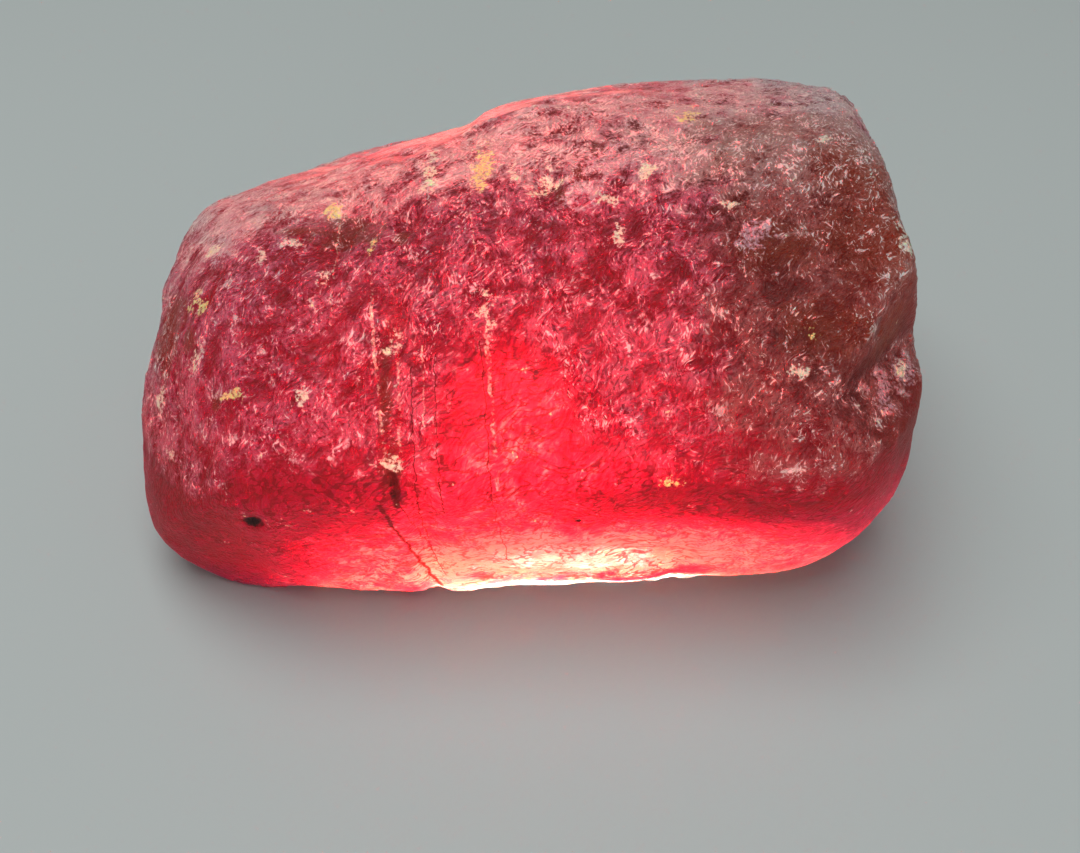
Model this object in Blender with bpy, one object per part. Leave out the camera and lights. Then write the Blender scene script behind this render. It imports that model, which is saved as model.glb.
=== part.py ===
"""Raw ruby crystal: one waterworn block of corundum, lying on its flat base.

Metres, +Z up, +X along the crystal's length, -Y towards its broad sloping face.
The origin is on the base, under the middle of the crystal's box.
"""

import math

import bmesh
import bpy
import numpy as np
from mathutils import Vector, noise

MM = 0.001

# Driving sizes, in millimetres. Places are measured from a point on the base under the heart;
# BOX_SHIFT then brings the middle of the finished crystal over the origin.
LENGTH, DEPTH, HEIGHT = 37.0, 29.0, 18.5
HEART = (0.0, -1.0, 8.6)
BOX_SHIFT = (0.33, 1.3, 0.0)
EDGE_WEAR = 0.7
FRESH_EDGE_WEAR = 0.1
GRID_STEP = 0.42
MOST_TRIANGLES = 9400

RUBY_COLOUR = (0.30, 0.01, 0.03, 1)
RUBY_ROUGHNESS = 0.45
RUBY_REFRACTION = 1.77

# The reach of a face is found by halving a span this often; past the greatest exponent a point is far
# outside whatever the other faces say.
HALVINGS = 30
GREATEST_EXPONENT = 50

# Worn faces: name, bearing and tilt in degrees, distance from the heart in millimetres.
# Bearing 0 is +X (right), 90 the back, -90 the front. Tilt is up from level.
WORN_FACES = (
    ("under base", 0, -90, 9.6),
    ("broad face", -92, 50, 10.4),
    ("shoulder", -90, 85, 9.8),
    ("shoulder left", -158, 77, 9.2),
    ("crown", 86, 72, 10.15),
    ("crown left", 125, 62, 8.65),
    ("front wall", -89, -18, 14.1),
    ("front foot", -87, -43, 14.4),
    ("back top", 92, 36, 13.4),
    ("back wall", 90, 0, 14.2),
    ("back foot", 92, -40, 14.0),
    ("left end", 180, 4, 17.8),
    ("left top", -178, 46, 14.0),
    ("left front corner", -146, 24, 17.0),
    ("left front foot", -132, -28, 20.0),
    ("left foot", 180, -38, 18.8),
    ("left back corner", 138, 0, 18.2),
    ("right end", 0, 1, 17.5),
    ("right end high", -2, 14, 18.1),
    ("right top", -2, 42, 17.9),
    ("right back top", 40, 42, 18.4),
    ("right front corner", -40, 2, 19.6),
    ("right front foot", -46, -34, 18.5),
    ("right foot", -4, -42, 17.4),
    ("right back corner", 42, 2, 18.4),
)

# Fresher faces, whose edges are still crisp.
FRESH_FACES = (
    ("lower left facet", -110, -18, 17.0),
    ("lilac facet", -86, 68, 9.75),
    ("back left facet", 118, 30, 14.2),
    ("back right facet", 66, -14, 15.6),
)

# The notch on the right: two broken walls that meet in a valley. Each wall is bearing, tilt, distance.
NOTCH_WALLS = (("upper wall", -40, 0, 17.0), ("lower wall", -26, 58, 11.35))

# Scooped hollows: name, place, radius across the surface, depth.
HOLLOWS = (
    ("below left shoulder", (-8.0, -6.0, 15.6), 2.4, 0.45),
    ("dark pit", (-5.1, -6.3, 16.2), 0.8, 0.5),
    ("pale chip", (0.7, -5.2, 17.6), 0.9, 0.45),
    ("clear window", (-0.4, -13.0, 12.1), 3.2, 0.35),
    ("black pit", (-11.5, -15.3, 7.1), 0.6, 0.5),
    ("left end dent", (-17.6, -5.0, 9.0), 2.6, 0.25),
    ("right brow", (14.0, -8.6, 15.4), 2.0, 0.4),
    ("beneath notch", (13.0, -13.0, 9.6), 2.2, 0.15),
    ("front wall dent", (5.5, -15.0, 5.0), 2.6, 0.3),
    ("back dent", (4.0, 13.0, 8.0), 3.4, 0.6),
    ("back chip", (-7.0, 12.4, 5.0), 2.2, 0.5),
    ("crown dent", (-9.0, 5.0, 13.0), 2.4, 0.3),
)

# Growth grooves that ring the crystal in planes across its length: place along X, width, depth,
# and the heights between which they are cut.
GROOVES = (
    (-8.2, 0.5, 0.16, 9.0, 19.0),
    (-5.7, 0.7, 0.32, 9.9, 15.5),
    (-5.0, 0.5, 0.25, 9.9, 14.8),
    (-4.4, 0.8, 0.38, -2.0, 9.0),
    (-1.3, 0.4, 0.14, 9.0, 16.0),
    (6.6, 0.8, 0.18, -2.0, 8.0),
)

# How softly a groove starts at its low end and stops at its high end, and where it runs out towards
# the back, as a place along Y and the length of the fade.
GROOVE_START, GROOVE_END = 0.8, 1.6
GROOVE_BACK, GROOVE_BACK_FADE = -2.0, 4.0

# The step in the crown: its height, then where it rises, fades, reaches its height and leaves the
# front. Each is a place and the length of the change.
CROWN_STEP_RISE = 0.5
CROWN_STEP_ALONG = (-3.4, 1.3)
CROWN_STEP_FADE = (0.0, 9.0)
CROWN_STEP_HEIGHTS = (11.0, 3.0)
CROWN_STEP_BACK = (-1.5, 3.0)

# Lumps left by wear: wavelength and height in millimetres.
LUMPS = ((6.5, 0.34), (2.6, 0.16), (1.3, 0.07))
LUMP_SEEDS = (Vector((3.1, 7.7, 1.9)), Vector((11.3, 2.2, 5.8)), Vector((8.4, 9.1, 14.6)))


def face_normals(faces):
    """Unit normals of a list of faces, one row each."""
    rows = []
    for _, bearing, tilt, _ in faces:
        turn = math.radians(bearing)
        lift = math.radians(tilt)
        rows.append((math.cos(lift) * math.cos(turn), math.cos(lift) * math.sin(turn), math.sin(lift)))
    return np.array(rows)


def reach_inside(directions, faces, wear):
    """How far one can go from the heart along each direction before leaving the faces.

    The faces are joined by a soft maximum, which rounds every edge by about the wear.
    """
    distances = np.array([face[3] for face in faces])
    slopes = directions @ face_normals(faces).T
    near = np.zeros(len(directions))
    far = np.full(len(directions), 2 * LENGTH)
    for _ in range(HALVINGS):
        middle = (near + far) / 2
        depth = (middle[:, None] * slopes - distances) / wear
        outside = np.exp(np.minimum(depth, GREATEST_EXPONENT)).sum(axis=1) > 1
        far = np.where(outside, middle, far)
        near = np.where(outside, near, middle)
    return (near + far) / 2


def smooth_step(values, start, run):
    """Rises from 0 to 1 as the values go from start to start + run."""
    part = np.clip((values - start) / run, 0, 1)
    return part * part * (3 - 2 * part)


def crystal_reach(directions):
    """Reach of the worn block once its fresh faces and its notch are cut."""
    block = reach_inside(directions, WORN_FACES, EDGE_WEAR)
    fresh = reach_inside(directions, FRESH_FACES, FRESH_EDGE_WEAR)
    walls = [reach_inside(directions, (wall,), FRESH_EDGE_WEAR) for wall in NOTCH_WALLS]
    return np.minimum(np.minimum(block, fresh), np.maximum(*walls))


def hollow_depth(points):
    """Depth scooped out by the hollows at each point."""
    depth = np.zeros(len(points))
    for _, place, radius, deepest in HOLLOWS:
        gap = np.linalg.norm(points - np.array(place), axis=1) / radius
        depth += deepest * np.clip(1 - gap * gap, 0, 1)
    return depth


def groove_depth(points):
    """Depth of the growth grooves at each point."""
    depth = np.zeros(len(points))
    for along, width, deepest, low, high in GROOVES:
        across = np.clip(1 - np.abs(points[:, 0] - along) / width, 0, 1)
        started = smooth_step(points[:, 2], low, GROOVE_START)
        ended = smooth_step(points[:, 2], high, GROOVE_END)
        front = 1 - smooth_step(points[:, 1], GROOVE_BACK, GROOVE_BACK_FADE)
        depth += deepest * across * started * (1 - ended) * front
    return depth


def crown_rise(points):
    """Height of the step on the crown at each point."""
    along = smooth_step(points[:, 0], *CROWN_STEP_ALONG)
    faded = 1 - smooth_step(points[:, 0], *CROWN_STEP_FADE)
    high = smooth_step(points[:, 2], *CROWN_STEP_HEIGHTS)
    back = smooth_step(points[:, 1], *CROWN_STEP_BACK)
    return CROWN_STEP_RISE * along * faded * high * back


def lump_height(points):
    """Height of the wear lumps at each point."""
    height = np.zeros(len(points))
    for (wavelength, amount), seed in zip(LUMPS, LUMP_SEEDS):
        places = points / wavelength
        height += [amount * noise.noise(Vector(place) + seed) for place in places]
    return height


def edges_along(block, axis):
    """The edges of a block that run mostly along an axis."""
    chosen = []
    for edge in block.edges:
        span = edge.verts[0].co - edge.verts[1].co
        if abs(span[axis]) > span.length / 2:
            chosen.append(edge)
    return chosen


def grid_block():
    """A box of the crystal's size with an even grid on every side."""
    block = bmesh.new()
    bmesh.ops.create_cube(block, size=1.0)
    bmesh.ops.scale(block, verts=block.verts, vec=(LENGTH, DEPTH, HEIGHT))
    for axis, size in enumerate((LENGTH, DEPTH, HEIGHT)):
        cuts = round(size / GRID_STEP) - 1
        bmesh.ops.subdivide_edges(block, edges=edges_along(block, axis), cuts=cuts, use_grid_fill=True)
    return block


def shape_crystal(block):
    """Moves each grid point along its ray from the heart until it lies on the crystal's surface."""
    points = np.array([vertex.co for vertex in block.verts])
    directions = points / np.linalg.norm(points, axis=1)[:, None]
    reach = crystal_reach(directions)
    surface = directions * reach[:, None] + np.array(HEART)
    raised = crown_rise(surface) + lump_height(surface) - hollow_depth(surface) - groove_depth(surface)
    for vertex, place, direction, amount in zip(block.verts, surface, directions, raised):
        vertex.co = Vector(place + direction * amount + np.array(BOX_SHIFT)) * MM


def new_collection(name):
    """A collection linked to the scene."""
    collection = bpy.data.collections.new(name)
    bpy.context.scene.collection.children.link(collection)
    return collection


def new_object(name, block, collection):
    """A mesh object made from a bmesh, which is freed."""
    mesh = bpy.data.meshes.new(name)
    bmesh.ops.recalc_face_normals(block, faces=block.faces)
    block.to_mesh(mesh)
    block.free()
    made = bpy.data.objects.new(name, mesh)
    collection.objects.link(made)
    return made


def thin_out(crystal):
    """Spends the triangles where the surface bends."""
    quads = len(crystal.data.polygons)
    thinning = crystal.modifiers.new("thin out", "DECIMATE")
    thinning.ratio = MOST_TRIANGLES / (2 * quads)
    thinning.use_collapse_triangulate = True


def cut_base(crystal, cutters):
    """Cuts the crystal flat where it rests."""
    block = bmesh.new()
    bmesh.ops.create_cube(block, size=1.0)
    bmesh.ops.scale(block, verts=block.verts, vec=(2 * LENGTH * MM, 2 * DEPTH * MM, HEIGHT * MM))
    bmesh.ops.translate(block, verts=block.verts, vec=(0, 0, -HEIGHT * MM / 2))
    cutter = new_object("base_cutter", block, cutters)
    cutter.hide_render = True
    cutter.display_type = "WIRE"
    cut = crystal.modifiers.new("flat base", "BOOLEAN")
    cut.operation = "DIFFERENCE"
    cut.solver = "EXACT"
    cut.object = cutter


def ruby_material():
    """Deep red corundum."""
    material = bpy.data.materials.new("ruby")
    material.use_nodes = True
    shader = material.node_tree.nodes["Principled BSDF"]
    shader.inputs["Base Color"].default_value = RUBY_COLOUR
    shader.inputs["Roughness"].default_value = RUBY_ROUGHNESS
    shader.inputs["IOR"].default_value = RUBY_REFRACTION
    return material


def main():
    for old in list(bpy.data.objects):
        bpy.data.objects.remove(old)
    parts = new_collection("raw_ruby_crystal")
    cutters = new_collection("cutters")
    block = grid_block()
    shape_crystal(block)
    crystal = new_object("ruby_crystal", block, parts)
    crystal.data.materials.append(ruby_material())
    thin_out(crystal)
    cut_base(crystal, cutters)


if __name__ == "__main__":
    main()
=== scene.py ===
"""Looks of the raw ruby crystal: waterworn corundum, frosted above and lit by a lamp beneath."""

import math

import bmesh
import bpy
import numpy as np
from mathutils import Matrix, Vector, noise


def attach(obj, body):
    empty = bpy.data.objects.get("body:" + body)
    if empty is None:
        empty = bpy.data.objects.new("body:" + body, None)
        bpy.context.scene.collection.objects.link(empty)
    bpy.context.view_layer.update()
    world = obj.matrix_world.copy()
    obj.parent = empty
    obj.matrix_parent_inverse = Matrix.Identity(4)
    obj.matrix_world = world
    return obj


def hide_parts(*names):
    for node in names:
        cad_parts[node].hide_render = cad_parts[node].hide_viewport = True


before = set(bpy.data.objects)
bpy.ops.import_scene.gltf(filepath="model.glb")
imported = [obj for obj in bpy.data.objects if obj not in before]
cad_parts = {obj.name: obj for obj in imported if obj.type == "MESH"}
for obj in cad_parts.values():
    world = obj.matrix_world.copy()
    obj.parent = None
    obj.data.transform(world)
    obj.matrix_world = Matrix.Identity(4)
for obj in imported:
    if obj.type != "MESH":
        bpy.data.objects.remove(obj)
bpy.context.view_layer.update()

MM = 0.001

# The camera, in millimetres and degrees.
CAMERA_PLACE = (0.73, -50.95, 43.4)
CAMERA_PITCH = 40.0
PICTURE_WIDTH = 1080
FOCAL_LENGTH_IN_PIXELS = 1250
SENSOR_WIDTH = 36.0

# The lamp that shines up into the crystal, in millimetres and watts, and the floor, whose hole for
# the lamp is covered by the crystal. The floor's radius is in metres.
LAMP_PLACE = (1.2, -0.6, -3.0)
LAMP_RADIUS = 10.5
LAMP_POWER = 0.07
LAMP_COLOUR = (1.0, 0.92, 0.88)
FLOOR_RADIUS = 1.5
FLOOR_COLOUR = (0.55, 0.60, 0.59, 1)
FLOOR_ROUGHNESS = 0.8
HOLE_CENTRE = (0.0, 0.1)
HOLE_HALF_WIDTH, HOLE_HALF_DEPTH = 14.5, 10.6
HOLE_SQUARENESS = 2.6
HOLE_CORNERS = 96

# The studio's own light, in metres and watts.
ROOM_COLOUR = (0.80, 0.85, 0.84, 1)
ROOM_STRENGTH = 0.22
SOFT_BOX_PLACE = (-0.04, -0.02, 0.30)
SOFT_BOX_SIZE = (0.30, 0.22)
SOFT_BOX_POWER = 0.55
FRONT_LIGHT_PLACE = (0.03, -0.30, 0.015)
FRONT_LIGHT_AIM = (0, 0, 0.005)
FRONT_LIGHT_SIZE = (0.24, 0.10)
FRONT_LIGHT_POWER = 0.45

# The fine mesh, in millimetres. The band above the base stays flat, and the relief grows above it.
GRAIN_STEP = 0.205
SOFTENING = 0.5
SOFTENING_ROUNDS = 2
BASE_BAND = 0.12
BASE_FADE = (BASE_BAND, 6 * BASE_BAND)
FACES_DOWN = -0.5

# Worn relief in the mesh: its height, the way its grains run, their length and width, and a seed.
# All lengths are in millimetres.
ACROSS = (1, 0, 0)
CHIP_WAY = (0.64, 0.61, 0.46)
CHIP_RELIEF = (
    (0.13, CHIP_WAY, 1.1, 0.6, 5.3),
    (0.05, (0.10, 0.80, 0.60), 0.55, 0.4, 17.9),
)
GRAIN_RELIEF = (
    (0.05, CHIP_WAY, 1.6, 0.5, 3.7),
    (0.08, ACROSS, 2.2, 1.8, 23.9),
)
PIT_DEPTH = 0.30
PIT_EDGE = (0.2, 0.8)
RELIEF_CONTRAST = 4
RELIEF_WHERE_BARE = 0.25

# Colours of the stone, as linear red, green and blue. The body's go from the cold end to the lamp:
# its own deep red, and towards the lamp a painted glow of the lamp's light.
BODY_AND_PAINTED_GLOW_COLOURS = (
    (0.00, (0.16, 0.014, 0.010, 1)),
    (0.25, (0.33, 0.006, 0.022, 1)),
    (0.50, (0.48, 0.011, 0.058, 1)),
    (0.64, (0.78, 0.062, 0.140, 1)),
    (0.70, (0.92, 0.170, 0.210, 1)),
    (0.76, (0.98, 0.350, 0.350, 1)),
    (0.84, (1.00, 0.370, 0.340, 1)),
    (0.92, (1.00, 0.385, 0.390, 1)),
    (1.00, (1.00, 0.560, 0.560, 1)),
)
DARK_FLECK = (0.13, 0.004, 0.006, 1)
MAUVE_FROST = (0.58, 0.135, 0.215, 1)
PALE_FROST = (0.68, 0.610, 0.610, 1)
GREY_FROST = (0.44, 0.270, 0.245, 1)
LILAC = (0.58, 0.370, 0.430, 1)
BROWN_FROST = (0.38, 0.110, 0.085, 1)
# The crown's colour is painted glow: the lamp's light coming through the back slope.
PAINTED_CROWN_GLOW = (1.00, 0.540, 0.520, 1)
# Pale strokes are partly worn marks and partly painted glints; the sparkle specks use this colour
# too, as painted glints.
PALE_STROKE_AND_GLINT = (0.92, 0.740, 0.730, 1)
BROWN = (0.26, 0.040, 0.014, 1)
HAIRLINE = (0.17, 0.005, 0.006, 1)
CREAM = (0.90, 0.85, 0.70, 1)
YELLOW = (0.84, 0.76, 0.34, 1)
NEARLY_BLACK = (0.028, 0.005, 0.003, 1)

# The lamp's heart, from which the glow painted into the body's colour fades: its place along X and
# Z and how far the fading reaches, in millimetres, its stretch along X, and its strength at the
# heart.
HEART_OF_GLOW = (2.6, -2.0)
GLOW_REACH = 27.5
GLOW_STRETCH = 1.7
GLOW_AT_HEART = 1.00

# The clear crown on the back slope, where the lamp's light coming through is painted as a bright
# colour.
# In this block and the next two, each pair is where a zone starts and where it is full, in
# millimetres or as a share of the surface's normal.
CROWN_SLOPE = (0.12, 0.32)
CROWN_LEAN_LEFT = 0.12
LEANS_LEFT_UNTIL = (-9.0, -3.0)
CROWN_LEAN_RIGHT = 0.10
LEANS_RIGHT_FROM = (-4.0, 1.0)
CROWN_FOOT = (11.0, 13.0)
CROWN_LEFT = (-15.5, -12.5)
CROWN_RIGHT = (5.0, 11.0)
CROWN_CLEARNESS = 0.92

# The frost, which lies where the surface faces up and above the fold.
FACES_UP = (-0.16, 0.36)
FROST_FACING_DOWN = 0.10
FOLD_HEIGHT = (8.6, 11.6)
FROST_UNDER_FOLD = 0.30
FOLD_DROP = 3.0
FOLD_DROPS_UNTIL = (-14.5, -11.5)

# The pale shoulder, whose paleness on the upward faces is partly painted light from above, the left
# end and the right rim, whose paleness is painted glints, and the brown of the right end, which
# fades at the far rim as a painted rim light.
SHOULDER_FRONT = (-7.6, -2.0)
SHOULDER_SLOPE = (0.5, 0.8)
LEFT_END = (-16.4, -14.2)
LEFT_END_HEIGHT = (6.5, 9.0)
LEFT_END_PALENESS = 0.62
RIGHT_RIM = (13.0, 16.0)
RIGHT_RIM_HEIGHT = (13.5, 15.5)
# The right rim's paleness is painted glints.
RIGHT_RIM_PAINTED_GLINTS = 0.8
BROWNISH_FROM = (4.0, 11.5)
FAR_RIM = (-0.5, 2.5)
# Near the far rim the brown gives way to pale frost: a painted rim light.
PAINTED_RIM_LIGHT_AT_FAR_RIM = 0.7

# Three clouds of hue: the sizes in millimetres and the shares of their lumps, and their seed.
HUES = ("hue one", "hue two", "hue three")
HUE_OCTAVES = ((1.4, 0.57), (0.7, 0.29), (0.35, 0.14))
HUE_SEED = 3

# How far the edges of the zones wander, in millimetres, where along Y the wandering starts and is
# full, and the grain of its noise: way, length, width and seed.
EDGE_DRIFT = 5.0
BEHIND = (-1.0, 5.0)
DRIFT_GRAIN = (ACROSS, 5.0, 4.0, 41.7)

# Where the changes below start to fade and where they end, in half sizes from their centres.
CHANGE_FADE = (0.25, 1.25)

# Places where the glow painted into the body is stronger or weaker: name, centre, half sizes and
# amount.
GLOW_CHANGES = (
    ("lower left facet", (-14.5, -12.0, 4.5), (6.0, 9.0, 5.5), -0.34),
    ("shelf on the left", (-8.5, -13.0, 8.3), (4.5, 4.0, 2.4), -0.16),
    ("right end", (18.0, -4.0, 13.0), (11.5, 17.0, 9.5), -0.60),
    ("left end", (-16.0, -2.0, 12.0), (8.0, 15.0, 8.0), -0.02),
    ("right half of the top", (9.0, -1.0, 17.8), (7.0, 5.0, 3.0), -0.22),
    ("hot foot's middle", (2.8, -13.3, 2.9), (4.5, 3.0, 1.6), 0.08),
    ("window", (-0.6, -12.0, 11.8), (3.6, 6.0, 3.8), 0.11),
    ("fold under the broad face", (7.5, -13.5, 8.4), (6.5, 4.0, 1.6), -0.22),
    ("hot foot", (3.6, -12.5, 1.9), (7.5, 4.0, 1.6), -0.20),
    ("foot's left", (-5.5, -12.5, 0.0), (3.0, 4.0, 3.0), -0.12),
    ("belt above the foot", (3.5, -13.5, 4.4), (8.0, 4.0, 2.0), 0.08),
    ("belt's middle", (1.5, -13.5, 4.2), (5.5, 4.0, 2.4), 0.12),
)

# Places with more or less frost than their slope gives: name, centre, half sizes and amount.
FROST_CHANGES = (
    ("window", (-0.9, -12.0, 11.2), (3.2, 6.0, 3.6), -1.2),
    ("below the window", (2.5, -13.5, 9.5), (4.5, 4.0, 2.4), -0.6),
    ("shelf on the left", (-8.0, -13.4, 8.2), (5.0, 4.0, 2.2), -0.6),
    ("lower right facet", (16.0, -10.0, 8.4), (4.0, 4.0, 2.6), -0.7),
    ("lower left facet", (-13.5, -12.5, 5.0), (4.5, 6.0, 3.2), -0.6),
    ("left end's grains", (-13.8, -11.0, 8.6), (2.2, 4.0, 1.8), 0.5),
    ("crest of the notch", (15.1, -9.4, 10.9), (1.8, 2.0, 0.7), 0.8),
    ("wall of the notch", (15.5, -7.6, 13.1), (1.4, 2.2, 1.4), -0.4),
    ("rim under the crest", (17.0, -9.4, 8.5), (1.5, 3.0, 1.9), -0.5),
)

# Mineral crusts and stains on the surface: name, centre and half sizes.
CREAM_PATCHES = (
    ("streak on the shoulder", (-4.1, -1.8, 16.7), (0.45, 2.2, 0.9)),
    ("chip on the shoulder", (1.0, -3.4, 17.0), (0.75, 1.1, 0.8)),
    ("small chip on the shoulder", (-0.5, -2.6, 17.1), (0.3, 0.8, 0.6)),
    ("block beside the slot", (-5.2, -9.8, 13.4), (0.36, 0.7, 0.7)),
    ("grain on the left", (-8.9, -11.9, 11.8), (0.22, 0.5, 0.6)),
    ("cluster at the middle line", (-1.4, -9.0, 14.3), (0.42, 0.9, 0.9)),
    ("streak on the brow", (4.0, -6.3, 16.1), (0.25, 0.8, 0.7)),
    ("fleck on the brow", (5.3, -3.1, 17.5), (0.35, 0.6, 0.4)),
    ("fleck before the brow", (3.8, -4.6, 16.9), (0.6, 0.3, 0.4)),
    ("left end, top", (-13.7, -3.5, 13.9), (0.5, 0.5, 0.4)),
    ("left end, corner", (-14.0, -6.3, 13.2), (0.6, 0.5, 0.4)),
    ("left top, under the crack", (-9.7, -5.2, 15.2), (0.6, 0.3, 0.4)),
    ("left top, middle", (-11.1, -5.5, 14.9), (0.25, 0.6, 0.4)),
    ("left of the slot", (-8.2, -7.5, 14.8), (0.3, 0.4, 0.4)),
    ("fleck by the notch", (11.2, -11.2, 12.8), (0.7, 0.3, 0.4)),
    ("fleck on the right top", (13.2, -1.2, 17.8), (0.3, 0.5, 0.5)),
    ("edge of the left end", (-15.9, -8.3, 9.1), (0.5, 0.4, 0.5)),
    ("left end, middle", (-13.9, -8.8, 11.8), (0.5, 0.5, 0.5)),
    ("left end, low", (-15.0, -10.7, 7.9), (0.5, 0.4, 0.4)),
    ("end of the slot", (-5.1, -13.5, 10.3), (0.45, 0.4, 0.35)),
    # The cream patch on the crest of the notch is a painted glint.
    ("crest of the notch", (16.3, -7.9, 10.7), (0.3, 0.5, 0.35)),
    # The cream patch on the right rim is painted glints.
    ("right rim", (15.9, -6.1, 15.9), (0.4, 0.8, 0.7)),
    ("middle of the right brow", (8.9, -4.6, 16.8), (0.6, 0.3, 0.4)),
)
YELLOW_PATCHES = (
    ("streak near the middle line", (-1.8, -2.2, 17.1), (0.42, 1.7, 0.7)),
    ("streak on the left shoulder", (-6.3, -6.3, 15.4), (0.22, 0.7, 0.6)),
    ("fleck on the left", (-14.1, -6.4, 13.2), (0.4, 0.6, 0.6)),
    ("bar on the left", (-11.9, -11.2, 11.7), (0.8, 0.3, 0.3)),
    ("fleck on the crown", (7.5, 1.2, 17.9), (0.5, 0.9, 0.5)),
    ("left shoulder", (-8.4, -3.0, 15.5), (0.4, 0.5, 0.4)),
    ("under the left corner", (-13.6, -7.0, 13.3), (0.3, 0.6, 0.5)),
    ("blur under the broad face", (6.2, -14.1, 9.6), (0.5, 0.5, 0.4)),
    ("fleck on the right brow", (11.7, -9.8, 13.9), (0.5, 0.4, 0.4)),
)
BROWN_PATCHES = (
    ("under the left shoulder", (-7.4, -4.8, 15.3), (1.8, 1.0, 0.8)),
    ("right top", (14.5, -2.6, 17.2), (2.4, 2.2, 1.8)),
    ("right brow", (14.6, -6.1, 15.9), (2.6, 2.4, 2.2)),
    ("notch", (15.2, -8.0, 12.9), (1.7, 2.2, 1.4)),
    ("right brow low", (12.2, -9.4, 13.8), (2.2, 1.4, 1.2)),
    ("middle of the right brow", (10.6, -6.4, 15.8), (2.0, 1.4, 1.2)),
    ("slot", (-5.2, -13.6, 9.8), (0.40, 1.0, 1.5)),
    ("band above the slot", (-5.5, -11.5, 12.0), (0.30, 2.5, 2.3)),
    ("pit", (-5.0, -5.6, 15.7), (0.4, 0.4, 0.4)),
    ("under the yellow bar", (-12.6, -11.0, 11.0), (0.4, 0.3, 0.3)),
    ("left end", (-15.5, -6.5, 11.5), (1.4, 1.8, 1.8)),
    ("edge under the left end", (-14.1, -8.0, 12.2), (0.5, 0.6, 0.7)),
    ("crack on the left top", (-9.6, -4.4, 15.3), (0.9, 0.35, 0.5)),
    ("crack on the left top, right half", (-7.9, -3.8, 15.4), (1.1, 0.35, 0.5)),
    ("crack by the lilac patch, front", (1.6, -4.3, 17.1), (0.28, 0.7, 0.6)),
    ("crack by the lilac patch, middle", (2.4, -3.0, 17.5), (0.28, 0.7, 0.6)),
    ("crack by the lilac patch, back", (3.2, -1.6, 17.7), (0.28, 0.7, 0.6)),
)
LILAC_PATCHES = (
    ("brow", (3.5, -2.5, 17.6), (1.1, 1.3, 0.8)),
    ("front of the brow", (2.3, -4.3, 17.1), (0.8, 0.9, 0.7)),
    # The two patches on the crest of the notch are painted glints.
    ("crest of the notch", (15.1, -9.5, 10.9), (0.9, 1.2, 0.6)),
    ("painted glints right of the crest", (16.3, -8.0, 10.6), (0.7, 0.9, 0.6)),
    ("right brow", (9.6, -6.1, 16.2), (0.7, 0.6, 0.5)),
    ("left top", (-13.3, -3.2, 14.1), (1.1, 1.3, 0.9)),
)
BLACK_PATCHES = (
    ("black pit", (-11.2, -13.8, 6.9), (0.40, 0.6, 0.26)),
    ("dot", (2.3, -14.0, 7.3), (0.16, 0.3, 0.14)),
    ("slot mouth", (-5.2, -13.9, 9.1), (0.20, 0.5, 0.6)),
)

# Lines where growth planes meet the front: place along X at no height, lean along X for each
# millimetre of height, half width, lowest and highest point. They waver along X.
LINE_WAVER = 0.5
PALE_LINES = (
    (-3.8, -0.163, 0.10, 10.2, 15.4),
    (-4.3, -0.055, 0.10, 10.1, 13.7),
    (0.05, -0.108, 0.13, 9.2, 14.6),
    (3.0, -0.310, 0.05, 15.6, 17.1),
    (-7.7, -0.010, 0.05, 12.5, 15.5),
    (-3.2, -0.060, 0.05, 11.2, 13.4),
)
DARK_LINES = (
    (-4.05, -0.109, 0.24, 8.4, 9.9),
    (-3.5, -0.260, 0.13, 1.0, 8.6),
    (-2.9, -0.230, 0.035, 2.5, 9.0),
    (-3.7, -0.060, 0.035, 5.5, 12.8),
    (-2.6, -0.070, 0.030, 8.0, 13.2),
    (-0.2, -0.110, 0.030, 4.0, 13.5),
)

# Chips of the surface, and the worn strokes on them: the way they run, their length and width. Each
# chip moves and turns its strokes by its own numbers, and the clouds of hue make them wobble.
CHIP_SIZE = (1.7, 1.0, 1.0)
CHIP_SCATTER = 9
CHIP_TWIST = 0.7
STROKES = (
    (CHIP_WAY, 0.85, 0.130),
    ((-0.25, 0.77, 0.58), 0.50, 0.110),
)
STREAK_DETAIL = 2.0
WOBBLE = 1.3

# Hairlines: the way they run, their size, and the noise that bends them.
HAIRLINE_WAY = (0.97, 0.10, 0.22)
HAIRLINE_SIZE = (0.8, 0.34, 0.34)
WARP_SCALE = 0.40
BEND = 1.5

# Noises of the surface: size of the lumps in millimetres, detail and roughness.
CLOUDS = (0.8, 3.0, 0.64)
GRIT = (0.15, 2.0, 0.6)

# The zones that the mesh carries.
ZONES = ("frost", "glow", "crown", "shoulder", "brownish",
         "cream", "yellow", "lilac", "brown", "black")

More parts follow.
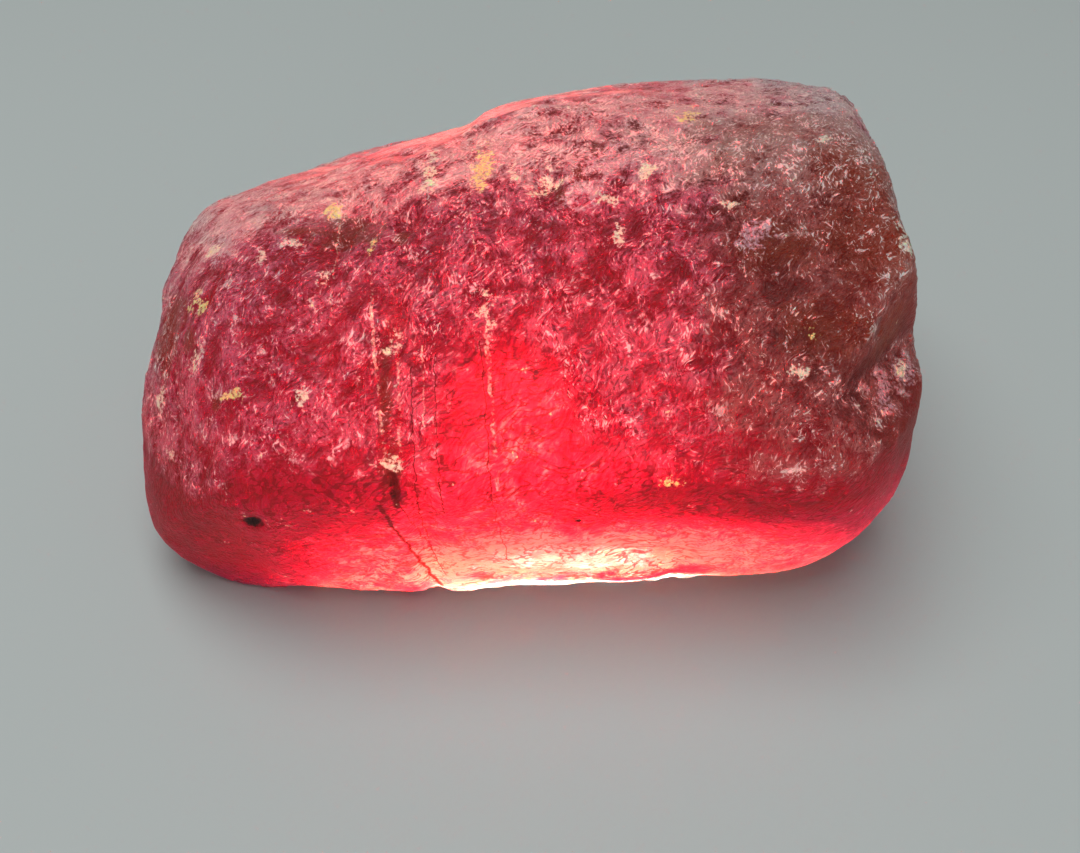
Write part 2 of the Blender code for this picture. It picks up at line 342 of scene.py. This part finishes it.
# What each mark is mixed from, with the share of each part.
MIXES = {
    "ragged": (("grit", 1.2), ("clouds", 2.4), ("everywhere", -1.8)),
    "frost": (("frost zone", 1.0), ("clouds", 0.6)),
    "worn": (("hue one", 0.70), ("clouds", 0.55), ("relief", 0.16), ("shoulder zone", 0.2)),
    "unworn": (("frost", 1.0), ("shoulder", -0.6)),
    "shoulder": (("shoulder zone", 0.8), ("clouds", 1.0), ("hue two", 1.0)),
    "brownish": (("brownish zone", 1.0), ("hue two", 0.9)),
    "stain": (("brown zone", 1.0), ("ragged", 0.5)),
    "cream": (("cream zone", 1.0), ("ragged", 1.0)),
    "yellow": (("yellow zone", 1.0), ("ragged", 1.0)),
    "lilac": (("lilac zone", 1.0), ("ragged", 1.0)),
    "crumbs": (("grit", 1.0),),
    "black": (("black zone", 1.0), ("ragged", 0.35)),
    # In the veil, the relief's share paints the crests paler and leaves the pits deep red: painted
    # shade of the relief.
    "veil": (("hue three", 0.50), ("clouds", 0.45), ("streak", 0.70), ("relief", 0.20),
             ("grit", 0.40), ("shoulder", 0.10), ("brownish", 0.06), ("stain", -0.08)),
    "strokes": (("streak", 1.0), ("clouds", 0.3), ("shoulder", 0.06)),
    "flecks": (("furrow", 1.0),),
    # Sparkle: painted glints, pale specks on the frost.
    "painted glints": (("grit", 1.0),),
    "fuzz": (("clouds", 0.9), ("streak", 0.9), ("hue two", 0.6)),
    "bare": (("clouds", 1.0),),
    "broken": (("clouds", 1.0), ("grit", 0.8)),
    "glow": (("glow zone", 1.0), ("clouds", 0.36), ("hue one", 0.20), ("first streak", 0.34),
             ("relief", 0.10), ("everywhere", -0.50)),
    "flakes": (("first streak", 1.4), ("clouds", 1.2), ("facet", 1.0), ("grit", 0.35)),
}

# Where each mark starts and where it is full.
EDGES = {
    "frost": (0.40, 1.15),
    "worn": (0.60, 0.74),
    "shoulder": (1.32, 1.95),
    "brownish": (0.70, 1.20),
    "stain": (0.30, 0.75),
    "cream": (0.52, 0.86),
    "yellow": (0.54, 0.84),
    "lilac": (0.40, 0.80),
    "crumbs": (0.30, 0.56),
    "black": (0.38, 0.62),
    "veil": (1.00, 1.24),
    "strokes": (0.78, 0.88),
    "flecks": (0.43, 0.35),
    "painted glints": (0.66, 0.74),
    "fuzz": (1.36, 1.52),
    "bare": (0.34, 0.54),
    "broken": (0.80, 1.15),
    "hair": (0.062, 0.020),
    "pale lines": (0.1, 0.6),
    "dark lines": (0.1, 0.7),
}
FROST_WHERE_CLEAN = 0.28
BROWNISH_SHARE = 0.85
SHOULDER_SHARE = 0.80
PALE_LINE_SHARE = 0.9

# The stone itself, and two of its values that change: on bare stone, and what frost and crusts add.
# Its bumps are given in millimetres.
RUBY = {
    "IOR": 1.77,
    "Specular IOR Level": 0.20,
    "Subsurface Radius": (1.0, 0.50, 0.42),
    "Subsurface Scale": 0.030,
    "Subsurface Anisotropy": 0.8,
}
RUBY_CHANGES = {
    "Subsurface Weight": (1.0, -0.34, -0.45),
    "Roughness": (0.58, -0.22, 0.25),
}
BUMP_DEPTH = 0.20
BUMPS_WHERE_BARE = 0.40

# The inputs of the node groups.
GRAIN_INPUTS = (("Place", "Vector"), ("Turn", "Vector"), ("Size", "Vector"))
LINE_INPUTS = (("Place", "Vector"), ("Start", "Float"), ("Lean", "Float"),
               ("Half width", "Float"), ("Low", "Float"), ("High", "Float"))


def smooth_step(values, start, end):
    """Goes from 0 to 1 as the values go from start to end."""
    part = np.clip((values - start) / (end - start), 0, 1)
    return part * part * (3 - 2 * part)


def apply_modifiers(piece):
    """Bakes a piece's modifiers into its mesh."""
    ready = piece.evaluated_get(bpy.context.evaluated_depsgraph_get())
    mesh = bpy.data.meshes.new_from_object(ready)
    piece.modifiers.clear()
    piece.data = mesh


def fine_crystal():
    """A fine even mesh of the crystal, with the facets of its solid smoothed away."""
    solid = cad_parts["ruby_crystal"]
    piece = bpy.data.objects.new("ruby_crystal_surface", solid.data.copy())
    bpy.context.scene.collection.objects.link(piece)
    remesh = piece.modifiers.new("even mesh", "REMESH")
    remesh.mode = "VOXEL"
    remesh.voxel_size = GRAIN_STEP * MM
    soften = piece.modifiers.new("soften", "SMOOTH")
    soften.factor = SOFTENING
    soften.iterations = SOFTENING_ROUNDS
    apply_modifiers(piece)
    return piece


def stretched(points, direction, long, wide):
    """Places along and across a direction, counted in lengths and widths of a grain."""
    turn = np.array(Vector(direction).normalized().to_track_quat("X", "Z").to_matrix())
    return points @ turn / np.array((long, wide, wide))


def grain_noise(points, direction, long, wide, seed):
    """Noise whose grains are long along one direction and narrow across it."""
    places = stretched(points, direction, long, wide) + seed
    return np.array([noise.noise(Vector(place)) for place in places])


def chipped(points, direction, long, wide, seed):
    """The height of flat chips, each tilted and sunk in its own way."""
    heights = np.empty(len(points))
    for index, place in enumerate(stretched(points, direction, long, wide) + seed):
        centre = noise.voronoi(Vector(place))[1][0]
        tilt = noise.cell_vector(centre) - Vector((0.5, 0.5, 0.5))
        heights[index] = (Vector(place) - centre).dot(tilt) + 0.5 * tilt.x
    return heights


def nearness(points, spots):
    """How near each point is to a spot: 1 at its centre, 0.5 at its edge, 0 at twice its size."""
    nearest = np.zeros(len(points))
    for _, centre, size in spots:
        nearest = np.maximum(nearest, 1 - np.linalg.norm((points - centre) / size, axis=1) / 2)
    return nearest


def changes(points, zones):
    """The sum of soft changes, each strongest at its centre."""
    total = np.zeros(len(points))
    for _, centre, size, amount in zones:
        reach = np.linalg.norm((points - centre) / size, axis=1)
        total += amount * (1 - smooth_step(reach, *CHANGE_FADE))
    return total


def hue_noise(points):
    """Three separate cloudy values for each point, from 0 to 1."""
    noise.seed_set(HUE_SEED)
    values = np.zeros((len(points), 3))
    for size, share in HUE_OCTAVES:
        drawn = [noise.noise_vector(Vector(place), noise_basis="PERLIN_NEW")
                 for place in points / size]
        values += share * np.array(drawn)
    return 0.5 + 0.5 * values


def add_value(mesh, name, values):
    """Stores one number per vertex on a mesh."""
    made = mesh.attributes.new(name, "FLOAT", "POINT")
    made.data.foreach_set("value", values.astype(np.float32))


def crystal_points(mesh):
    """The places of a mesh's vertices, in millimetres, and their normals."""
    points = np.empty(3 * len(mesh.vertices))
    normals = np.empty(3 * len(mesh.vertices))
    mesh.vertices.foreach_get("co", points)
    mesh.vertex_normals.foreach_get("vector", normals)
    return points.reshape(-1, 3) / MM, normals.reshape(-1, 3)


def crown_zone(points, normals, drift):
    """Where the back slope is clear and lit through, which the colour paints as a glow."""
    x, _, z = points.T
    leaning = normals[:, 1] - CROWN_LEAN_LEFT * (1 - smooth_step(x, *LEANS_LEFT_UNTIL))
    leaning -= CROWN_LEAN_RIGHT * smooth_step(x, *LEANS_RIGHT_FROM)
    crown = smooth_step(leaning, *CROWN_SLOPE) * smooth_step(z + drift, *CROWN_FOOT)
    crown *= smooth_step(x, *CROWN_LEFT) * (1 - smooth_step(x + drift, *CROWN_RIGHT))
    return crown


def frost_zone(points, normals, drift, crown):
    """Where the surface is frosted: most above the fold and where it faces up."""
    x, _, z = points.T
    faces_up = FROST_FACING_DOWN + (1 - FROST_FACING_DOWN) * smooth_step(normals[:, 2], *FACES_UP)
    height = z + drift + FOLD_DROP * (1 - smooth_step(x, *FOLD_DROPS_UNTIL))
    above_fold = FROST_UNDER_FOLD + (1 - FROST_UNDER_FOLD) * smooth_step(height, *FOLD_HEIGHT)
    frost = np.clip(faces_up * above_fold + changes(points, FROST_CHANGES), 0, 1)
    return frost * (1 - CROWN_CLEARNESS * crown)


def glow_zone(points):
    """How much of the lamp's light reaches each place, for the glow painted into the body's colour.
    """
    x, _, z = points.T
    far = np.hypot((x - HEART_OF_GLOW[0]) / GLOW_STRETCH, z - HEART_OF_GLOW[1])
    return np.clip(GLOW_AT_HEART - far / GLOW_REACH + changes(points, GLOW_CHANGES), 0, 1)


def pale_frost_and_painted_light_zone(points, normals, crown):
    """Where the frost is pale: before the crown, with light from above painted where it faces up;
    on the left end; and on the right rim, with painted glints.
    """
    x, y, z = points.T
    # On the top, the paler frost where the surface faces up is partly painted light from above.
    top = smooth_step(y, *SHOULDER_FRONT) * smooth_step(normals[:, 2], *SHOULDER_SLOPE)
    left = LEFT_END_PALENESS * (1 - smooth_step(x, *LEFT_END)) * smooth_step(z, *LEFT_END_HEIGHT)
    # The right rim's paleness is painted glints.
    right = RIGHT_RIM_PAINTED_GLINTS * smooth_step(x, *RIGHT_RIM) * smooth_step(z, *RIGHT_RIM_HEIGHT)
    return np.maximum(np.maximum(top * (1 - crown), left), right)


def mark_zones(mesh, points, normals):
    """Notes the zones of frost, glow, crust and stain on the mesh, and returns the frost."""
    x, y, _ = points.T
    drift = EDGE_DRIFT * smooth_step(y, *BEHIND) * grain_noise(points, *DRIFT_GRAIN)
    crown = crown_zone(points, normals, drift)
    frost = frost_zone(points, normals, drift, crown)
    # Less brown near the far rim: painted rim light.
    painted_rim_light = PAINTED_RIM_LIGHT_AT_FAR_RIM * smooth_step(y, *FAR_RIM)
    zones = {
        "frost": frost,
        "glow": glow_zone(points),
        "crown": crown,
        "shoulder": pale_frost_and_painted_light_zone(points, normals, crown),
        "brownish": smooth_step(x, *BROWNISH_FROM) * (1 - painted_rim_light),
        "cream": nearness(points, CREAM_PATCHES),
        "yellow": nearness(points, YELLOW_PATCHES),
        "brown": nearness(points, BROWN_PATCHES),
        "black": nearness(points, BLACK_PATCHES),
        "lilac": nearness(points, LILAC_PATCHES),
    }
    zones.update(zip(HUES, hue_noise(points).T))
    for name, values in zones.items():
        add_value(mesh, name, values)
    return frost


def worn_relief(points):
    """The height of chips, grains and pits above the smooth surface, in millimetres."""
    relief = np.zeros(len(points))
    for height, *grain in CHIP_RELIEF:
        relief += height * chipped(points, *grain)
    for height, *grain in GRAIN_RELIEF:
        relief += height * grain_noise(points, *grain)
    return relief - PIT_DEPTH * smooth_step(nearness(points, BLACK_PATCHES), *PIT_EDGE)


def wear_surface(piece):
    """Gives the fine mesh its zones and its worn relief, and keeps the base flat."""
    mesh = piece.data
    points, normals = crystal_points(mesh)
    frost = mark_zones(mesh, points, normals)
    relief = worn_relief(points)
    add_value(mesh, "relief", np.clip(0.5 + RELIEF_CONTRAST * relief, 0, 1))
    above_base = smooth_step(points[:, 2], *BASE_FADE)
    share = above_base * (RELIEF_WHERE_BARE + (1 - RELIEF_WHERE_BARE) * frost)
    moved = points + normals * (relief * share)[:, None]
    low = (points[:, 2] < BASE_BAND) & (normals[:, 2] < FACES_DOWN)
    moved[low, 2] = 0
    moved[:, 2] = np.maximum(moved[:, 2], 0)
    mesh.vertices.foreach_set("co", (moved * MM).ravel())
    for polygon in mesh.polygons:
        polygon.use_smooth = True
    mesh.update()


def add(tree, kind, inputs=None, **settings):
    """Adds a node, sets its settings and fills its inputs with values or links."""
    node = tree.nodes.new(kind)
    for name, value in settings.items():
        setattr(node, name, value)
    for name, value in (inputs or {}).items():
        if isinstance(value, bpy.types.NodeSocket):
            tree.links.new(value, node.inputs[name])
        else:
            node.inputs[name].default_value = value
    return node


def sums(tree, operation, first, second=0.0, third=0.0, clamp=False):
    """One step of arithmetic."""
    inputs = {0: first, 1: second, 2: third}
    return add(tree, "ShaderNodeMath", inputs, operation=operation, use_clamp=clamp).outputs[0]


def vectors(tree, operation, *inputs):
    """One step of arithmetic on places."""
    node = add(tree, "ShaderNodeVectorMath", dict(enumerate(inputs)), operation=operation)
    return node.outputs["Value" if operation == "DOT_PRODUCT" else "Vector"]


def moved_by(tree, place, offset, share):
    """A place moved by a share of an offset."""
    return vectors(tree, "MULTIPLY_ADD", offset, (share, share, share), place)


def blend(tree, *parts):
    """The sum of several values, each given with its share."""
    total = 0.0
    for value, share in parts:
        total = sums(tree, "MULTIPLY_ADD", value, share, total)
    return total


def fade(tree, value, start, end):
    """Goes smoothly from 0 to 1 as a value goes from start to end."""
    ramp = add(tree, "ShaderNodeMapRange", {"Value": value, "From Min": start, "From Max": end},
               interpolation_type="SMOOTHSTEP")
    return ramp.outputs["Result"]


def fog(tree, place, size, detail, roughness):
    """Cloudy noise, from 0 to 1, with lumps of a size in millimetres."""
    inputs = {"Vector": place, "Scale": 1 / size, "Detail": detail, "Roughness": roughness}
    return add(tree, "ShaderNodeTexNoise", inputs).outputs["Fac"]


def tint(tree, amount, under, over):
    """Lays one colour over another."""
    node = add(tree, "ShaderNodeMix", data_type="RGBA")
    for name, value in (("Factor_Float", amount), ("A_Color", under), ("B_Color", over)):
        socket = next(s for s in node.inputs if s.identifier == name)
        if isinstance(value, bpy.types.NodeSocket):
            tree.links.new(value, socket)
        else:
            socket.default_value = value
    return next(s for s in node.outputs if s.identifier == "Result_Color")


def new_group(name, inputs, outputs):
    """An empty shader node group with named sockets, and its two end nodes."""
    group = bpy.data.node_groups.new(name, "ShaderNodeTree")
    for in_out, sockets in (("INPUT", inputs), ("OUTPUT", outputs)):
        for label, kind in sockets:
            group.interface.new_socket(name=label, in_out=in_out, socket_type="NodeSocket" + kind)
    given = group.nodes.new("NodeGroupInput").outputs
    made = group.nodes.new("NodeGroupOutput").inputs
    return group, given, made


def laid_along(group, given):
    """The given place, turned and stretched as the given turn and size say."""
    inputs = {"Vector": given["Place"], "Rotation": given["Turn"], "Scale": given["Size"]}
    return add(group, "ShaderNodeMapping", inputs, vector_type="TEXTURE").outputs[0]


def strokes_group():
    """Streaks that all run one way."""
    group, given, made = new_group("worn strokes", GRAIN_INPUTS, (("Streak", "Float"),))
    streak = add(group, "ShaderNodeTexNoise",
                 {"Vector": laid_along(group, given), "Scale": 1.0, "Detail": STREAK_DETAIL})
    group.links.new(streak.outputs["Fac"], made["Streak"])
    return group


def chips_group():
    """Chips of the worn surface, each with a flat tilt and three random numbers of its own."""
    group, given, made = new_group("chips", GRAIN_INPUTS, (("Facet", "Float"), ("Own", "Vector")))
    laid = laid_along(group, given)
    cells = add(group, "ShaderNodeTexVoronoi", {"Vector": laid, "Scale": 1.0}).outputs
    offset = vectors(group, "SUBTRACT", laid, cells["Position"])
    own = vectors(group, "SUBTRACT", cells["Color"], (0.5, 0.5, 0.5))
    group.links.new(vectors(group, "DOT_PRODUCT", offset, own), made["Facet"])
    group.links.new(own, made["Own"])
    return group


def line_group():
    """A thin line where a plane across the crystal meets its front."""
    group, given, made = new_group("growth line", LINE_INPUTS, (("Mask", "Float"),))
    parts = add(group, "ShaderNodeSeparateXYZ", {0: given["Place"]}).outputs
    line = sums(group, "MULTIPLY_ADD", given["Lean"], parts["Z"], given["Start"])
    off = sums(group, "ABSOLUTE", sums(group, "SUBTRACT", parts["X"], line))
    off = sums(group, "DIVIDE", off, given["Half width"])
    thin = sums(group, "SUBTRACT", 1.0, off, clamp=True)
    above = sums(group, "GREATER_THAN", parts["Z"], given["Low"])
    below = sums(group, "LESS_THAN", parts["Z"], given["High"])
    front = sums(group, "LESS_THAN", parts["Y"], 0.0)
    span = sums(group, "MULTIPLY", sums(group, "MULTIPLY", above, below), front)
    group.links.new(sums(group, "MULTIPLY", thin, span), made["Mask"])
    return group


def use(tree, group, **inputs):
    """The outputs of a node group, given its inputs."""
    named = {name.replace("_", " ").capitalize(): value for name, value in inputs.items()}
    return add(tree, "ShaderNodeGroup", named, node_tree=group).outputs


def strongest(tree, masks):
    """The highest of several masks."""
    top = masks[0]
    for other in masks[1:]:
        top = sums(tree, "MAXIMUM", top, other)
    return top


def value_of(tree, name):
    """A number stored on the mesh."""
    return add(tree, "ShaderNodeAttribute", attribute_name=name).outputs["Fac"]


def growth_lines(tree, group, place, rows):
    """Several growth lines as one mask."""
    masks = [use(tree, group, place=place, start=start, lean=lean, half_width=half, low=low,
                 high=high)["Mask"] for start, lean, half, low, high in rows]
    return strongest(tree, masks)


def turn_to(direction):
    """The turn that lays the X axis along a direction."""
    return tuple(Vector(direction).normalized().to_track_quat("X", "Z").to_euler())


def mixed(tree, marks, name):
    """Several marks added up, with the shares that the table of mixes gives."""
    return blend(tree, *((marks[part], share) for part, share in MIXES[name]))


def mask(tree, marks, name, *within):
    """A mix faded between its two edges, and kept within other masks."""
    made = fade(tree, mixed(tree, marks, name), *EDGES[name])
    for other in within:
        made = sums(tree, "MULTIPLY", made, other)
    return made


def place_on_stone(tree):
    """The place on the stone, in millimetres."""
    place = add(tree, "ShaderNodeTexCoord").outputs["Object"]
    node = add(tree, "ShaderNodeVectorMath", {0: place, "Scale": 1 / MM}, operation="SCALE")
    return node.outputs[0]


def raw_marks(tree, place, strokes):
    """The noises and zones that the masks are mixed from."""
    marks = {"everywhere": 1.0, "relief": value_of(tree, "relief")}
    marks.update((zone + " zone", value_of(tree, zone)) for zone in ZONES)
    marks.update((hue, value_of(tree, hue)) for hue in HUES)
    marks["clouds"] = fog(tree, place, *CLOUDS)
    marks["grit"] = fog(tree, place, *GRIT)
    marks["ragged"] = mixed(tree, marks, "ragged")

    chips = use(tree, chips_group(), place=place, turn=turn_to(CHIP_WAY), size=CHIP_SIZE)
    marks["facet"] = chips["Facet"]
    wobble = add(tree, "ShaderNodeCombineXYZ", dict(zip("XYZ", (marks[hue] for hue in HUES))))
    wobbly = moved_by(tree, place, wobble.outputs[0], WOBBLE)
    apart = moved_by(tree, wobbly, chips["Own"], CHIP_SCATTER)
    streaks = []
    for way, long, wide in STROKES:
        turned = moved_by(tree, turn_to(way), chips["Own"], CHIP_TWIST)
        streaks.append(use(tree, strokes, place=apart, turn=turned,
                           size=(long, wide, wide))["Streak"])
    marks["first streak"] = streaks[0]
    marks["streak"] = strongest(tree, streaks)
    marks["furrow"] = sums(tree, "MINIMUM", *streaks)
    return marks


def mark_frost(tree, marks):
    """The frost, its veil, its strokes, its painted glints and its flecks."""
    clean = sums(tree, "MULTIPLY_ADD", mask(tree, marks, "worn"), 1 - FROST_WHERE_CLEAN,
                 FROST_WHERE_CLEAN)
    frost = sums(tree, "MULTIPLY", mask(tree, marks, "frost"), clean)
    marks["shoulder"] = mask(tree, marks, "shoulder")
    marks["brownish"] = mask(tree, marks, "brownish")
    marks["stain"] = mask(tree, marks, "stain")
    for name in ("veil", "strokes", "painted glints", "fuzz"):
        marks[name] = mask(tree, marks, name, frost)
    marks["frost"] = frost
    flecks = mask(tree, marks, "flecks")
    marks["flecks"] = sums(tree, "MULTIPLY", flecks, mixed(tree, marks, "unworn"), clamp=True)


def mark_crusts(tree, marks):
    """The crusts of other minerals and the black pits."""
    crumbs = mask(tree, marks, "crumbs")
    for name in ("cream", "yellow", "lilac"):
        marks[name] = mask(tree, marks, name, crumbs)
    marks["black"] = mask(tree, marks, "black")


def mark_lines(tree, marks, place, strokes):
    """The hairlines of the bare stone and the growth lines of its front."""
    warp = add(tree, "ShaderNodeTexNoise", {"Vector": place, "Scale": WARP_SCALE, "Detail": 0.0})
    bent = moved_by(tree, place, warp.outputs["Color"], BEND)
    hair = use(tree, strokes, place=bent, turn=turn_to(HAIRLINE_WAY), size=HAIRLINE_SIZE)
    middle = sums(tree, "ABSOLUTE", sums(tree, "SUBTRACT", hair["Streak"], 0.5))
    hair = fade(tree, middle, *EDGES["hair"])
    unfrosted = sums(tree, "SUBTRACT", 1.0, marks["frost"], clamp=True)
    marks["hair"] = sums(tree, "MULTIPLY", hair, mask(tree, marks, "bare", unfrosted))

    shift = sums(tree, "MULTIPLY_ADD", marks["clouds"], LINE_WAVER, -LINE_WAVER / 2)
    waver = add(tree, "ShaderNodeCombineXYZ", {"X": shift}).outputs[0]
    wavering = vectors(tree, "ADD", place, waver)
    lines = line_group()
    pale = fade(tree, growth_lines(tree, lines, wavering, PALE_LINES), *EDGES["pale lines"])
    marks["pale lines"] = sums(tree, "MULTIPLY", pale, mask(tree, marks, "broken"))
    dark = growth_lines(tree, lines, wavering, DARK_LINES)
    marks["dark lines"] = fade(tree, dark, *EDGES["dark lines"])


def surface_marks(tree):
    """Every mask that the colours, the roughness and the bumps of the stone are made from."""
    place = place_on_stone(tree)
    strokes = strokes_group()
    marks = raw_marks(tree, place, strokes)
    mark_frost(tree, marks)
    mark_crusts(tree, marks)
    mark_lines(tree, marks, place, strokes)
    marks["glow"] = mixed(tree, marks, "glow")
    marks["height"] = sums(tree, "MULTIPLY", mixed(tree, marks, "flakes"),
                           sums(tree, "MULTIPLY_ADD", marks["frost zone"],
                                1 - BUMPS_WHERE_BARE, BUMPS_WHERE_BARE))
    return marks


def body_and_painted_glow_colour(tree, glow):
    """The clear stone's colour with the lamp's glow painted in, for each strength of the glow."""
    body = add(tree, "ShaderNodeValToRGB", {"Fac": glow})
    ramp = body.color_ramp.elements
    while len(ramp) < len(BODY_AND_PAINTED_GLOW_COLOURS):
        ramp.new(0.5)
    for stop, (position, colour) in zip(ramp, BODY_AND_PAINTED_GLOW_COLOURS):
        stop.position = position
        stop.color = colour
    return body.outputs["Color"]


def stone_colour(tree, marks):
    """The colour of the stone, from the body's painted glow up to the crusts on it, with painted
    glints and painted shade among the layers.
    """
    brownish = sums(tree, "MULTIPLY", marks["brownish"], BROWNISH_SHARE)
    pale = sums(tree, "MULTIPLY", marks["shoulder"], SHOULDER_SHARE)
    frost_colour = tint(tree, pale, tint(tree, brownish, MAUVE_FROST, BROWN_FROST),
                        tint(tree, brownish, PALE_FROST, GREY_FROST))
    strokes_and_painted_glints = strongest(tree, [marks["strokes"], marks["painted glints"]])
    pale_lines = sums(tree, "MULTIPLY", marks["pale lines"], PALE_LINE_SHARE)
    cream = strongest(tree, [marks["cream"], pale_lines])
    layers = (
        # The crown is painted glow.
        (marks["crown zone"], 0.96, PAINTED_CROWN_GLOW),
        (marks["veil"], 0.80, frost_colour),
        (marks["flecks"], 0.50, DARK_FLECK),
        (marks["stain"], 0.66, BROWN),
        (marks["fuzz"], 0.60, PALE_FROST),
        (marks["lilac"], 0.85, LILAC),
        # Pale strokes and sparkle: worn marks and painted glints.
        (strokes_and_painted_glints, 0.66, PALE_STROKE_AND_GLINT),
        (marks["hair"], 0.65, HAIRLINE),
        (marks["dark lines"], 0.85, HAIRLINE),
        (cream, 0.80, CREAM),
        (marks["yellow"], 0.92, YELLOW),
        (marks["black"], 1.0, NEARLY_BLACK),
    )
    # The body's colour carries the lamp's glow, painted.
    colour = body_and_painted_glow_colour(tree, marks["glow"])
    for amount, share, shade in layers:
        colour = tint(tree, sums(tree, "MULTIPLY", amount, share), colour, shade)
    return colour


def ruby_material():
    """Translucent red corundum with frosting, worn strokes, mineral stains and dark hairlines, with
    the lamp's glow, glints and the shade of its relief painted into its colour.
    """
    material = bpy.data.materials.new("ruby")
    material.use_nodes = True
    tree = material.node_tree
    shader = tree.nodes["Principled BSDF"]
    for name, value in RUBY.items():
        shader.inputs[name].default_value = value
    marks = surface_marks(tree)
    crusts = strongest(tree, [marks["cream"], marks["yellow"]])
    for socket, (bare, frosted, crusted) in RUBY_CHANGES.items():
        value = blend(tree, (1.0, bare), (marks["frost"], frosted), (crusts, crusted))
        tree.links.new(value, shader.inputs[socket])
    tree.links.new(stone_colour(tree, marks), shader.inputs["Base Color"])
    bump = add(tree, "ShaderNodeBump",
               {"Height": marks["height"], "Strength": 1.0, "Distance": BUMP_DEPTH * MM})
    tree.links.new(bump.outputs["Normal"], shader.inputs["Normal"])
    return material


def rounded_hole(turn):
    """A point on the floor's hole, which follows the outline of the crystal's base."""
    across, deep = math.cos(turn), math.sin(turn)
    power = 2 / HOLE_SQUARENESS
    return Vector((
        HOLE_CENTRE[0] + HOLE_HALF_WIDTH * math.copysign(abs(across) ** power, across),
        HOLE_CENTRE[1] + HOLE_HALF_DEPTH * math.copysign(abs(deep) ** power, deep),
        0,
    )) * MM


def floor_edge(turn):
    """A point on the floor's round outer edge."""
    return Vector((FLOOR_RADIUS * math.cos(turn), FLOOR_RADIUS * math.sin(turn), 0))


def make_floor():
    """A wide pale floor with a hole that the crystal covers."""
    sheet = bmesh.new()
    turns = [2 * math.pi * step / HOLE_CORNERS for step in range(HOLE_CORNERS)]
    inner = [sheet.verts.new(rounded_hole(turn)) for turn in turns]
    outer = [sheet.verts.new(floor_edge(turn)) for turn in turns]
    for step in range(HOLE_CORNERS):
        sheet.faces.new((inner[step - 1], outer[step - 1], outer[step], inner[step]))
    mesh = bpy.data.meshes.new("floor")
    sheet.to_mesh(mesh)
    sheet.free()
    made = bpy.data.objects.new("floor", mesh)
    bpy.context.scene.collection.objects.link(made)
    material = bpy.data.materials.new("pale floor")
    material.use_nodes = True
    shader = material.node_tree.nodes["Principled BSDF"]
    shader.inputs["Base Color"].default_value = FLOOR_COLOUR
    shader.inputs["Roughness"].default_value = FLOOR_ROUGHNESS
    mesh.materials.append(material)


def make_area_lamp(name, place, aim, power, **shape):
    """An area lamp pointing at a place."""
    light = bpy.data.lights.new(name, "AREA")
    light.energy = power
    for setting, value in shape.items():
        setattr(light, setting, value)
    made = bpy.data.objects.new(name, light)
    made.location = place
    made.rotation_euler = (Vector(aim) - made.location).to_track_quat("-Z", "Y").to_euler()
    bpy.context.scene.collection.objects.link(made)
    return made


def light_the_studio():
    """A soft box above, a weak light in front, a grey room, and the lamp beneath the crystal."""
    room = bpy.data.worlds.new("grey room")
    room.use_nodes = True
    backdrop = room.node_tree.nodes["Background"]
    backdrop.inputs["Color"].default_value = ROOM_COLOUR
    backdrop.inputs["Strength"].default_value = ROOM_STRENGTH
    bpy.context.scene.world = room
    make_area_lamp("soft box", SOFT_BOX_PLACE, (0, 0, 0), SOFT_BOX_POWER,
                   shape="RECTANGLE", size=SOFT_BOX_SIZE[0], size_y=SOFT_BOX_SIZE[1])
    front = make_area_lamp("front light", FRONT_LIGHT_PLACE, FRONT_LIGHT_AIM, FRONT_LIGHT_POWER,
                           shape="RECTANGLE", size=FRONT_LIGHT_SIZE[0], size_y=FRONT_LIGHT_SIZE[1])
    front.visible_glossy = False
    beneath = Vector(LAMP_PLACE) * MM
    make_area_lamp("lamp beneath", beneath, beneath + Vector((0, 0, 1)), LAMP_POWER,
                   shape="DISK", size=2 * LAMP_RADIUS * MM, color=LAMP_COLOUR)


def make_camera():
    """The camera, which looks down over the crystal's front."""
    lens = bpy.data.cameras.new("camera")
    lens.sensor_width = SENSOR_WIDTH
    lens.lens = SENSOR_WIDTH * FOCAL_LENGTH_IN_PIXELS / PICTURE_WIDTH
    lens.clip_start = MM
    made = bpy.data.objects.new("camera", lens)
    made.location = Vector(CAMERA_PLACE) * MM
    made.rotation_euler = (math.radians(90 - CAMERA_PITCH), 0, 0)
    bpy.context.scene.collection.objects.link(made)
    bpy.context.scene.camera = made


make_camera()
light_the_studio()
make_floor()
bpy.context.scene.view_settings.view_transform = "Standard"
crystal = fine_crystal()
wear_surface(crystal)
crystal.data.materials.clear()
crystal.data.materials.append(ruby_material())
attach(crystal, "root")
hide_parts("ruby_crystal")
